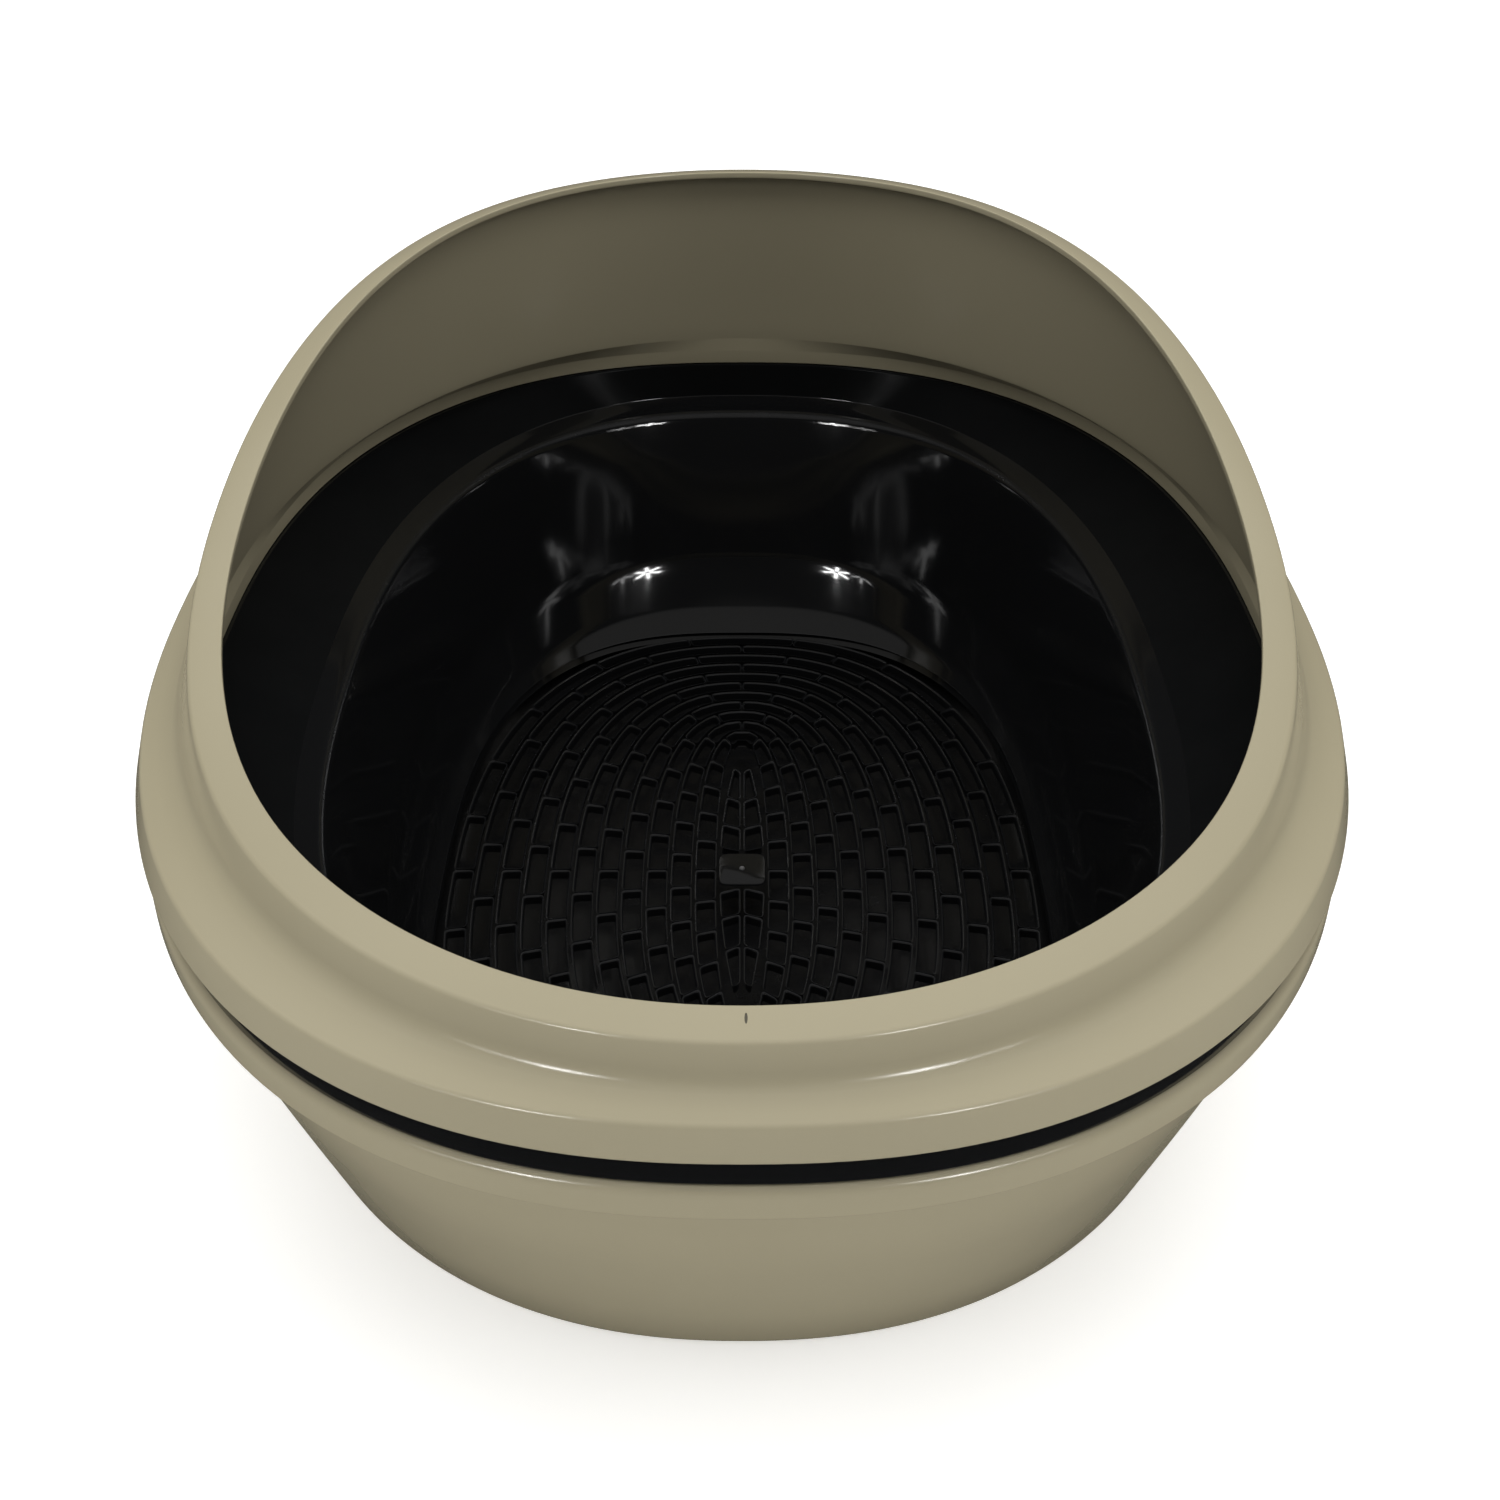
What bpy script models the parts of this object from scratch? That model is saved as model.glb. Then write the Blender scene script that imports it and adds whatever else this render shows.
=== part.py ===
"""Oval cat litter box with an open hood: a base tray, a liner tray, a sieve tray and a hood that nest.

Metres, +Z up. The origin is the middle of the base's underside, and the low front faces -Y.
Every wall follows an oval, a superellipse with its own half width, half length and squareness.
"""

from dataclasses import dataclass
from math import copysign, cos, hypot, pi, radians, sin, tan

import bmesh
import bpy

# ---- driving dimensions -------------------------------------------------------------------
HALF_WIDTH = 0.2038          # widest half width of the set, at the foot of the hood's skirt
HALF_LENGTH = 0.2478         # half length at the same place
SEGMENTS = 64                # facets round every oval
GAP = 0.0003                 # air between pieces that rest on each other

RIM_TOP = 0.1290             # top of the base tray's rolled rim, which carries the other pieces
RIM_SKIRT = 0.0110           # how far the rolled rim hangs down outside
BASE_WALL = 0.0025
TRAY_WALL = 0.0022           # liner and sieve
HOOD_WALL = 0.0026
LIP_HEIGHT = 0.0101          # height of the sieve tray's outer lip, the dark band under the hood
SIEVE_FLOOR_TOP = 0.0246
SIEVE_FLOOR_THICKNESS = 0.0040

SKIRT_FOOT = 0.1397          # foot of the hood's skirt
HOOD_SEAT = 0.1373           # groove in the sieve tray where the hood's locating leg stands
COLLAR_FRONT = 0.1672        # outer edge of the hood's collar at the low front
COLLAR_BACK = 0.2300         # the same edge at the high back
RISE_START = -0.1660         # the collar climbs between these two places along Y
RISE_END = 0.2160
COLLAR_WIDTH = 0.0108        # the collar's shelf reaches inward this far ...
COLLAR_LIFT = 0.0026         # ... and climbs this much on the way
SIDE_LEAN = radians(13)      # lean of the hood's wall at the sides
END_LEAN = radians(5)        # and at the front and back

RING_PITCH = 0.0097          # spacing of the sieve's oval ribs across the width
RING_PITCH_END = 0.00767     # and along the length
RING_SQUARENESS = 2.4
EDGE_SQUARENESS = 2.72       # the floor's edge has fuller corners than the ribs
CENTRE_HALF_LENGTH = 0.0797  # half length that the ring family starts from
RINGS = 12                   # oval ribs
BARS = 22                    # crossbars in each ring of slots, staggered from ring to ring
RIB = 0.0030                 # width of an oval rib
BAR = 0.0022                 # width of a crossbar
LENS_HALF_LENGTH = 0.0870    # pointed lens in the middle of the sieve
BAR_SPREAD = 0.2             # how much the outer rings' crossbars spread out towards the tips
SLOT_STEP = 0.024            # long sides of a slot bend about this often
LENS_BARS = (0.0110, 0.0265, 0.0445, 0.0650)  # bars across the lens, beyond its solid pad
LENS_SLOPE = 0.0025          # how far each of them slopes away from the pad

GREIGE = (0.42, 0.37, 0.28, 1)
BLACK = (0.010, 0.010, 0.011, 1)


# ---- ovals --------------------------------------------------------------------------------
@dataclass
class Oval:
    """One section of a shell: half width, half length, squareness and height."""
    half_width: float
    half_length: float
    squareness: float
    z: float

    def point(self, turn):
        """The point at a share of a full turn, from +X by way of +Y."""
        c, s = cos(2 * pi * turn), sin(2 * pi * turn)
        power = 2 / self.squareness
        x = self.half_width * abs(c) ** power * (1 if c >= 0 else -1)
        y = self.half_length * abs(s) ** power * (1 if s >= 0 else -1)
        return x, y, self.z

    def points(self):
        return [self.point(i / SEGMENTS) for i in range(SEGMENTS)]


def inset(oval, distance, z=None):
    """The oval drawn in by a distance, or out where it is negative."""
    return Oval(oval.half_width - distance, oval.half_length - distance, oval.squareness,
                oval.z if z is None else z)


# ---- Blender helpers ----------------------------------------------------------------------
def clear_scene():
    for obj in list(bpy.data.objects):
        bpy.data.objects.remove(obj)


def new_collection(name):
    collection = bpy.data.collections.new(name)
    bpy.context.scene.collection.children.link(collection)
    return collection


def plastic(name, colour, roughness):
    material = bpy.data.materials.new(name)
    material.use_nodes = True
    shader = material.node_tree.nodes["Principled BSDF"]
    shader.inputs["Base Color"].default_value = colour
    shader.inputs["Roughness"].default_value = roughness
    shader.inputs["Metallic"].default_value = 0
    return material


def mesh_object(name, bm, collection, material=None):
    mesh = bpy.data.meshes.new(name)
    bm.to_mesh(mesh)
    bm.free()
    obj = bpy.data.objects.new(name, mesh)
    collection.objects.link(obj)
    if material:
        mesh.materials.append(material)
        mesh.shade_smooth()
        mesh.set_sharp_from_angle(angle=radians(35))
    return obj


def loft(rows, close_profile=False, cap_end=False):
    """A skin through rows of points, all round. The last row may be capped with one flat face."""
    bm = bmesh.new()
    rings = [[bm.verts.new(point) for point in row] for row in rows]
    pairs = list(zip(rings, rings[1:]))
    if close_profile:
        pairs.append((rings[-1], rings[0]))
    for lower, upper in pairs:
        for i in range(len(lower)):
            j = (i + 1) % len(lower)
            bm.faces.new((lower[i], lower[j], upper[j], upper[i]))
    if cap_end:
        bm.faces.new(rings[-1])
    return bm


def add_wall(obj, thickness):
    """Gives an open skin its wall, on the side away from its normals."""
    solidify = obj.modifiers.new("wall", "SOLIDIFY")
    solidify.thickness = thickness
    solidify.offset = -1
    solidify.use_even_offset = True


def tray(name, sections, wall, collection, material, floor=True):
    """A moulded tray from its upper surface: outer edge first, floor last."""
    bm = loft([section.points() for section in sections], cap_end=floor)
    obj = mesh_object(name, bm, collection, material)
    add_wall(obj, wall)
    return obj


# ---- sections of the nested trays ---------------------------------------------------------
def sieve_sections():
    """The sieve tray's upper surface: lip, hood groove, shelf, ledge, tub wall and floor edge."""
    lip = Oval(0.2006, 0.2456, 2.30, RIM_TOP + GAP)
    top = lip.z + LIP_HEIGHT
    seat = Oval(0.1916, 0.2366, 2.39, HOOD_SEAT)
    return [
        lip,
        inset(lip, 0, top),
        inset(seat, -0.0007, top),
        seat,
        inset(seat, 0.0047),
        Oval(0.1538, 0.2315, 2.36, 0.1215),
        Oval(0.1456, 0.2201, 2.41, 0.1183),
        Oval(0.1444, 0.2181, 2.41, 0.1160),
        Oval(0.1386, 0.2060, 2.48, 0.0800),
        Oval(0.1332, 0.1974, 2.54, 0.0550),
        Oval(0.1310, 0.1936, 2.56, 0.0475),
        Oval(0.1246, 0.1832, 2.66, 0.0316),
        floor_edge(),
    ]


def floor_edge():
    """The oval where the sieve tray's tub ends and its slotted floor begins."""
    outermost = ring_oval(RINGS)
    return Oval(outermost.half_width + 0.0030, outermost.half_length + 0.0030, EDGE_SQUARENESS,
                SIEVE_FLOOR_TOP)


def liner_sections():
    """The liner hangs a little lower than the sieve, clear of it everywhere."""
    flange = Oval(0.1981, 0.2431, 2.30, RIM_TOP + GAP + TRAY_WALL)
    return [
        flange,
        Oval(0.1897, 0.2347, 2.37, flange.z),
        Oval(0.1565, 0.2345, 2.36, 0.1185),
        Oval(0.1475, 0.2218, 2.41, 0.1145),
        Oval(0.1400, 0.2068, 2.50, 0.0720),
        Oval(0.1310, 0.1945, 2.66, 0.0300),
        Oval(0.1245, 0.1870, 2.70, 0.0150),
        Oval(0.1140, 0.1740, 2.70, 0.0090),
    ]


def base_sections():
    """The base tray: rolled rim, tapered wall and flat floor."""
    rim = Oval(0.2035, 0.2475, 2.30, RIM_TOP)
    foot = Oval(0.1745, 0.2005, 2.22, 0.0050)
    return [
        inset(rim, -0.0001, RIM_TOP - RIM_SKIRT),
        inset(rim, 0.0002, RIM_TOP - 0.0030),
        inset(rim, 0.0010, RIM_TOP - 0.0010),
        inset(rim, 0.0030, RIM_TOP),
        inset(rim, 0.0080, RIM_TOP),
        Oval(0.1916, 0.2322, 2.28, 0.0900),
        Oval(0.1838, 0.2172, 2.25, 0.0480),
        foot,
        inset(foot, 0.0012, 0.0032),
        inset(foot, 0.0040, BASE_WALL),
    ]


# ---- hood ---------------------------------------------------------------------------------
def rise(y):
    """How far up its climb the collar is at a place along the length, from 0 to 1."""
    share = (y - RISE_START) / (RISE_END - RISE_START)
    share = min(max(share, 0), 1)
    return (1 - cos(pi * share)) / 2


def wall_oval(z, inward=0.0):
    """The outside of the hood's wall at a height: it leans in more at the sides than at the ends."""
    height = z - COLLAR_FRONT
    return Oval(0.1858 - tan(SIDE_LEAN) * height - inward,
                0.2325 - tan(END_LEAN) * height - inward, 2.09, z)


def collar_row(inward, lift):
    """Points that follow the collar's climbing edge, drawn in and raised."""
    points = []
    for i in range(SEGMENTS):
        turn = i / SEGMENTS
        y = wall_oval(COLLAR_FRONT).point(turn)[1]
        z = COLLAR_FRONT + (COLLAR_BACK - COLLAR_FRONT) * rise(y)
        x, y, _ = wall_oval(z, inward).point(turn)
        points.append((x, y, z + lift))
    return points


def between(low_row, high_row, share):
    return [tuple(a + (b - a) * share for a, b in zip(low, high))
            for low, high in zip(low_row, high_row)]


def hood(collection, material):
    """One moulding: skirt, shoulder, wall, collar, and an inner leg that stands in the groove."""
    skirt = Oval(HALF_WIDTH, HALF_LENGTH, 2.30, SKIRT_FOOT)
    leg = Oval(0.1874, 0.2324, 2.39, HOOD_SEAT + GAP)
    shoulder = Oval(0.2004, 0.2450, 2.30, 0.1504)
    wall_foot = Oval(0.1895, 0.2350, 2.15, 0.1560).points()
    outer_edge = collar_row(0, -0.0010)
    inner_foot = wall_oval(0.1545, HOOD_WALL).points()
    inner_edge = collar_row(HOOD_WALL + 0.0004, -0.0042)
    outside = [
        skirt.points(),
        inset(shoulder, -0.0003, 0.1496).points(),
        inset(shoulder, 0.0009, 0.1508).points(),
        Oval(0.1935, 0.2388, 2.23, 0.1528).points(),
        wall_foot,
        between(wall_foot, outer_edge, 0.35),
        between(wall_foot, outer_edge, 0.70),
        outer_edge,
        collar_row(0.0010, 0.0002),
        collar_row(COLLAR_WIDTH, COLLAR_LIFT),
    ]
    inside = [
        collar_row(COLLAR_WIDTH, COLLAR_LIFT - HOOD_WALL),
        collar_row(HOOD_WALL + 0.0020, -0.0020),
        inner_edge,
        between(inner_foot, inner_edge, 0.60),
        inner_foot,
        leg.points(),
        inset(leg, -0.0028).points(),
        inset(leg, -0.0028, 0.1482).points(),
        inset(skirt, 0.0064, 0.1488).points(),
        inset(skirt, 0.0027, SKIRT_FOOT).points(),
    ]
    bm = loft(outside + inside, close_profile=True)
    return mesh_object("hood", bm, collection, material)


# ---- sieve floor --------------------------------------------------------------------------
def ring_oval(number):
    """Centre line of an oval rib. Part numbers lie between two ribs."""
    return Oval(RING_PITCH * number, CENTRE_HALF_LENGTH + RING_PITCH_END * number,
                RING_SQUARENESS, SIEVE_FLOOR_TOP)


def quarter_turns(oval, samples=160):
    """Turns and running lengths along a quarter oval, from the side to the tip."""
    turns = [0.25 * i / samples for i in range(samples + 1)]
    spots = [oval.point(turn) for turn in turns]
    lengths = [0.0]
    for (x0, y0, _), (x1, y1, _) in zip(spots, spots[1:]):
        lengths.append(lengths[-1] + hypot(x1 - x0, y1 - y0))
    return turns, lengths


def turn_at(turns, lengths, length):
    """The turn of an oval at a running length from its side, also past the tip or before the side."""
    total = lengths[-1]
    if length < 0:
        return -turn_at(turns, lengths, -length)
    if length > total:
        return 0.5 - turn_at(turns, lengths, 2 * total - length)
    for i in range(1, len(lengths)):
        if lengths[i] >= length:
            share = (length - lengths[i - 1]) / (lengths[i] - lengths[i - 1])
            return turns[i - 1] + share * (turns[i] - turns[i - 1])
    return turns[-1]


def bar_length(ring, number, quarter):
    """Running length from the side to a crossbar. Bars spread out towards the tips."""
    share = abs(number) / (BARS / 4)
    spread = BAR_SPREAD * (ring - 4) / (RINGS - 5)
    return copysign(quarter * (share * (1 - spread) + share * share * spread), number)


def slot_outline(ring, turns, lengths, start, end):
    """One slot between two ribs, from one running length to another."""
    steps = max(1, round((end - start) / SLOT_STEP))
    spots = [turn_at(turns, lengths, start + (end - start) * i / steps) for i in range(steps + 1)]
    inner = inset(ring_oval(ring), -RIB / 2)
    outer = inset(ring_oval(ring + 1), RIB / 2)
    return [inner.point(turn)[:2] for turn in spots] + [outer.point(turn)[:2] for turn in reversed(spots)]


def ring_slots(ring):
    """All the slots of a ring. Odd rings have a slot over each tip, and even rings a crossbar."""
    turns, lengths = quarter_turns(ring_oval(ring + 0.5))
    quarter = lengths[-1]
    odd = ring % 2 == 1
    last = BARS // 4 + (0 if odd else 0.5)
    bars = [bar_length(ring, i - last, quarter) for i in range(round(2 * last) + 1)]
    outlines = []
    for low, high in zip(bars, bars[1:]):
        outline = slot_outline(ring, turns, lengths, low + BAR / 2, high - BAR / 2)
        outlines += mirrored(outline, flips=((1, 1), (-1, 1)))
    if odd:
        start = bars[-1] + BAR / 2
        outline = slot_outline(ring, turns, lengths, start, 2 * quarter - start)
        outlines += mirrored(outline, flips=((1, 1), (1, -1)))
    return outlines


def mirrored(outline, flips):
    return [[(x * flip_x, y * flip_y) for x, y in outline] for flip_x, flip_y in flips]


def lens_half_width(y):
    """Half width of the pointed lens between the two innermost ribs."""
    radius = (LENS_HALF_LENGTH ** 2 + RING_PITCH ** 2) / (2 * RING_PITCH)
    return (radius ** 2 - y ** 2) ** 0.5 - (radius - RING_PITCH) - RIB / 2


def lens_slots():
    """Pairs of slots beside the lens's spine, either side of the pad, parted by sloping bars."""
    spine = RIB / 2
    outlines = []
    for low, high in zip(LENS_BARS, LENS_BARS[1:]):
        bottom = low + BAR / 2
        top = high - BAR / 2
        outline = [(spine, bottom), (lens_half_width(bottom), bottom + LENS_SLOPE),
                   (lens_half_width(top), top + LENS_SLOPE), (spine, top)]
        outlines += mirrored(outline, flips=((1, 1), (-1, 1), (1, -1), (-1, -1)))
    return outlines


def prism(bm, outline, bottom, top):
    """Adds an upright prism on a flat outline."""
    area = sum(x0 * y1 - x1 * y0 for (x0, y0), (x1, y1) in zip(outline, outline[1:] + outline[:1]))
    if area < 0:
        outline = outline[::-1]
    low = [bm.verts.new((x, y, bottom)) for x, y in outline]
    high = [bm.verts.new((x, y, top)) for x, y in outline]
    bm.faces.new(low[::-1])
    bm.faces.new(high)
    for i in range(len(outline)):
        j = (i + 1) % len(outline)
        bm.faces.new((low[i], low[j], high[j], high[i]))


def sieve_floor(collection, cutters, material):
    """The slotted floor: a flat oval plate with its slots cut through."""
    plate = bmesh.new()
    edge = inset(floor_edge(), GAP)
    outline = [(x, y) for x, y, _ in edge.points()]
    bottom = SIEVE_FLOOR_TOP - SIEVE_FLOOR_THICKNESS
    prism(plate, outline, bottom, SIEVE_FLOOR_TOP)
    obj = mesh_object("sieve_floor", plate, collection, material)

    slots = bmesh.new()
    for ring in range(1, RINGS):
        for outline in ring_slots(ring):
            prism(slots, outline, bottom - 0.002, SIEVE_FLOOR_TOP + 0.002)
    for outline in lens_slots():
        prism(slots, outline, bottom - 0.002, SIEVE_FLOOR_TOP + 0.002)
    cutter = mesh_object("slot_cutter", slots, cutters)
    cutter.hide_render = True
    cutter.display_type = "WIRE"
    cut = obj.modifiers.new("slots", "BOOLEAN")
    cut.operation = "DIFFERENCE"
    cut.solver = "EXACT"
    cut.object = cutter
    return obj


# ---- assembly -----------------------------------------------------------------------------
def main():
    clear_scene()
    parts = new_collection("cat_litter_box")
    cutters = new_collection("cutters")
    greige = plastic("greige_plastic", GREIGE, 0.32)
    black = plastic("black_plastic", BLACK, 0.18)
    tray("base_tray", base_sections(), BASE_WALL, parts, greige)
    tray("liner_tray", liner_sections(), TRAY_WALL, parts, black)
    tray("sieve_tray", sieve_sections(), TRAY_WALL, parts, black, floor=False)
    sieve_floor(parts, cutters, black)
    hood(parts, greige)


main()
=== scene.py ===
"""Looks of the oval cat litter box with an open hood: four nesting mouldings in gloss plastic.

Metres, +Z up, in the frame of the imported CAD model. The low front faces -Y. Every shell is a loft
through ovals (superellipses) with rounded corners, and the sieve's floor is cut with rounded slots.
"""
from dataclasses import dataclass
from math import copysign, cos, pi, radians, sin, tan

import bmesh
import bpy
import numpy as np
from mathutils import Matrix, Vector
from mathutils.geometry import delaunay_2d_cdt


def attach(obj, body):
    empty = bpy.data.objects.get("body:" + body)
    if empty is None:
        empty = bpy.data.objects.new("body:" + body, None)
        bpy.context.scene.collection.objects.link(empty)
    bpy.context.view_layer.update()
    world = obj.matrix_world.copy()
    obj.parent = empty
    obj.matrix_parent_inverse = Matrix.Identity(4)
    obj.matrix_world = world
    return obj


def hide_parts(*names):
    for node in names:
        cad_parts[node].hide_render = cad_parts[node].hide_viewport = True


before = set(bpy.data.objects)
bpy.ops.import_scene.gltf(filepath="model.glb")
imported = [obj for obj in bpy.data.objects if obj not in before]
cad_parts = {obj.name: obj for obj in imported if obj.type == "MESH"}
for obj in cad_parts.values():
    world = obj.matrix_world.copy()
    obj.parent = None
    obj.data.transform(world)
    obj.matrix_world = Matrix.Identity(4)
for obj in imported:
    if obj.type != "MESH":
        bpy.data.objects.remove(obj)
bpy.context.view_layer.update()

scene = bpy.context.scene

# ---- driving dimensions -------------------------------------------------------------------
COLUMNS = 256                # facets round every oval
CORNER_STEPS = 5             # facets in a rounded corner
GAP = 0.0003                 # air between pieces that rest on each other
BASE_WALL = 0.0025
TRAY_WALL = 0.0022           # liner and sieve
HOOD_WALL = 0.0026
HALF_WIDTH = 0.2038          # widest half width of the set, at the foot of the hood's skirt
HALF_LENGTH = 0.2478
RIM_TOP = 0.1290             # top of the base tray's rolled rim
RIM_SKIRT = 0.0110           # how far the rolled rim hangs down outside
LIP_HEIGHT = 0.0101          # the sieve tray's outer lip, the dark band under the hood
SKIRT_FOOT = 0.1397          # foot of the hood's skirt
HOOD_SEAT = 0.1373           # groove in the sieve tray where the hood's leg stands
LEDGE_TOP = 0.1215           # where the sieve tray's shelf ends in a narrow ledge above the tub
COLLAR_FRONT = 0.1672        # outer edge of the hood's collar at the low front
COLLAR_BACK = 0.2300         # and at the high back
RISE_START = -0.1660         # the collar climbs between these two places along Y
RISE_END = 0.2160
COLLAR_WIDTH = 0.0108        # the collar's shelf reaches inward this far
COLLAR_LIFT = 0.0026         # and climbs this much on the way
SIDE_LEAN = radians(13)      # lean of the hood's wall at the sides
END_LEAN = radians(5)        # and at the front and back

FLOOR_TOP = 0.0246           # the sieve's slotted floor
FLOOR_THICKNESS = 0.0040
FLOOR_BORDER = 0.0030        # solid border between the last rib and the tub's wall
RING_PITCH = 0.0097          # spacing of the oval ribs across the width
RING_PITCH_END = 0.00767     # and along the length
RING_SQUARENESS = 2.4
EDGE_SQUARENESS = 2.72       # the floor's edge has fuller corners than the ribs
CENTRE_HALF_LENGTH = 0.0797  # half length that the ring family starts from
RINGS = 12                   # oval ribs
BARS = 22                    # crossbars in each ring of slots
RIB = 0.0030                 # width of an oval rib at its foot
BAR = 0.0022                 # width of a crossbar at its foot
BAR_SPREAD = 0.2             # how much the outer rings' crossbars spread out towards the tips
SLOT_STEP = 0.005            # long sides of a slot bend about this often
SLOT_ROUND = 0.0009          # radius of the rounded edges round a slot
SLOT_CORNER = 0.0011         # rounding of a slot's corners in plan
LENS_HALF_LENGTH = 0.0870    # pointed lens in the middle of the sieve
LENS_BARS = (0.0110, 0.0265, 0.0445, 0.0650)  # bars across the lens, beyond its solid pad
LENS_SLOPE = 0.0025          # how far the bars of the lens slope away from its pad
PAD_HALF = 0.0096            # half width of the solid pad in the middle of the lens
PAD_RISE = 0.0006            # how far it stands above the floor
STUB_FOOT = 0.0005           # stub of a sprue on the pad: it starts this far above the floor
STUB_RADIUS = 0.0011
STUB_RISE = 0.0009
SHELF_MARGIN = 0.0003        # the shelf's duller faces stay this far below the groove and above the ledge
SHELF_INSET = 0.0010         # and this far inside the groove's outer edge

MARK_PLACE = (0.001, -0.2257, 0.16875)   # sprue's mark on the front of the hood's collar
MARK_HALF_WIDTH = 0.0005
MARK_HALF_LENGTH = 0.0018
MARK_RISE = 0.0002
MARK_TILT = radians(13.5)    # slope of the collar there
DISC_COLUMNS = 32            # facets round the pad, the stub and the mark
DISC_STEPS = 4               # and over their rounded edges
DISC_ROOT = 0.0003           # how far they reach into the piece that they stand on

# ---- colours ------------------------------------------------------------------------------
GREIGE_DEEP = (0.380, 0.341, 0.233, 1)
GREIGE_PALE = (0.394, 0.354, 0.244, 1)
GREIGE_RUBBED = (0.357, 0.320, 0.220, 1)
BLACK = (0.0056, 0.0058, 0.0062, 1)
BLACK_DUSTY = (0.016, 0.015, 0.013, 1)
# Lighter black painted on the floor's rib tops and the ledge's rounded edge: a painted sheen that stands
# in for their highlights.
BLACK_PAINTED_SHEEN = (0.0085, 0.0090, 0.0100, 1)
SHELF_DARK = (0.0052, 0.0055, 0.0057, 1)
SHELF_PALE = (0.0062, 0.0065, 0.0067, 1)
MARK_DARK = (0.05, 0.045, 0.033, 1)      # broken face of the collar's sprue
MARK_PALE = (0.11, 0.10, 0.07, 1)
STUB_DARK = (0.05, 0.05, 0.05, 1)        # cut face of the sieve's sprue
STUB_PALE = (0.16, 0.16, 0.16, 1)
FLOOR_GREY = (0.90, 0.90, 0.90, 1)
FLOOR_WHITE = (0.92, 0.92, 0.92, 1)
SKY_COLOUR = (1.0, 0.985, 0.955, 1)

# ---- studio and camera --------------------------------------------------------------------
FLOOR_SIZE = 30
FLOOR_GLOW = 0.44            # keeps the pale floor white
SKY_LOW = 0.025              # strength of the sky as the gloss sees it, low down ...
SKY_HIGH = 0.26              # ... and overhead
SKY_EDGE = (0.60, 0.67)      # it changes between these two sines of the height
SKY_SEEN = 0.72              # strength of the sky behind the floor
MIDDLE = (0, 0, 0.12)        # what the lights aim at
WIDE_LIGHTS = (              # name, place, aim, width, height, radiance
    ("overhead", (0, 0.25, 1.9), (0, 0.25, 0), 3.0, 3.0, 1.73),
    ("front_fill", (0, -2.4, 1.5), MIDDLE, 3.2, 1.6, 0.63),
    ("left_fill", (-2.4, -0.3, 1.3), MIDDLE, 1.6, 1.6, 1.60),
    ("right_fill", (2.4, -0.3, 1.3), MIDDLE, 1.6, 1.6, 1.80),
)
LAMPS = (                    # name, distance aside, place along Y, height, radiance
    ("lamp", 1.45, -2.6, 1.45, 60),
    ("side_lamp", 2.2, -2.4, 1.35, 9),
)
LAMP_TUBES = 6               # tubes in the fan of a lamp
TUBE_WIDTH = 0.07
TUBE_LENGTH = 0.30
TUBE_REACH = 0.22            # from the lamp's hub to the middle of a tube
CAMERA_PLACE = (0, -0.5394, 0.4865)
CAMERA_DIP = radians(36.7)   # how far the camera looks down
CAMERA_LENS = 42.36
CAMERA_SHIFT = 0.0053


# ---- ovals and profiles -------------------------------------------------------------------
@dataclass
class Oval:
    """One section of a shell: half width, half length, squareness and height."""
    half_width: float
    half_length: float
    squareness: float
    z: float

    def at(self, turns):
        """Points at shares of a full turn, from +X by way of +Y."""
        c = np.cos(2 * pi * np.asarray(turns, float))
        s = np.sin(2 * pi * np.asarray(turns, float))
        power = 2 / self.squareness
        x = self.half_width * np.sign(c) * np.abs(c) ** power
        y = self.half_length * np.sign(s) * np.abs(s) ** power
        return np.stack([x, y, np.full_like(x, self.z)], axis=-1)

    def points(self):
        return self.at(np.arange(COLUMNS) / COLUMNS)


def inset(oval, distance, z=None):
    """The oval drawn in by a distance, or out where it is negative."""
    return Oval(oval.half_width - distance, oval.half_length - distance, oval.squareness,
                oval.z if z is None else z)


def shortened(vector, distance):
    """A vector per column cut to a length, and to just under half of what it was."""
    length = np.linalg.norm(vector, axis=-1, keepdims=True)
    return vector * np.minimum(distance / np.maximum(length, 1e-9), 0.48)


def rounded(rows, cuts, closed=False):
    """Rows of a profile with each corner cut back by its own distance and curved over."""
    out = []
    count = len(rows)
    for i, (row, cut) in enumerate(zip(rows, cuts)):
        if cut == 0 or (not closed and i in (0, count - 1)):
            out.append(row)
            continue
        start = row + shortened(rows[i - 1] - row, cut)
        end = row + shortened(rows[(i + 1) % count] - row, cut)
        for t in np.linspace(0, 1, CORNER_STEPS):
            out.append((1 - t) ** 2 * start + 2 * t * (1 - t) * row + t * t * end)
    return out


def band_normals(low, high):
    """Unit normals of the band between two rows, to the right of the way from low to high."""
    around = np.roll(low, -1, axis=0) - np.roll(low, 1, axis=0)
    normals = np.cross(around, high - low)
    return normals / np.maximum(np.linalg.norm(normals, axis=-1, keepdims=True), 1e-12)


def far_side(rows, thickness):
    """The other side of a wall of even thickness, behind the surface that the rows describe."""
    normals = [band_normals(low, high) for low, high in zip(rows, rows[1:])]
    out = []
    for i, row in enumerate(rows):
        before = normals[max(i - 1, 0)]
        after = normals[min(i, len(normals) - 1)]
        even = 1 + np.sum(before * after, axis=-1, keepdims=True)
        out.append(row - (before + after) / np.maximum(even, 0.4) * thickness)
    return out


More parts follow.
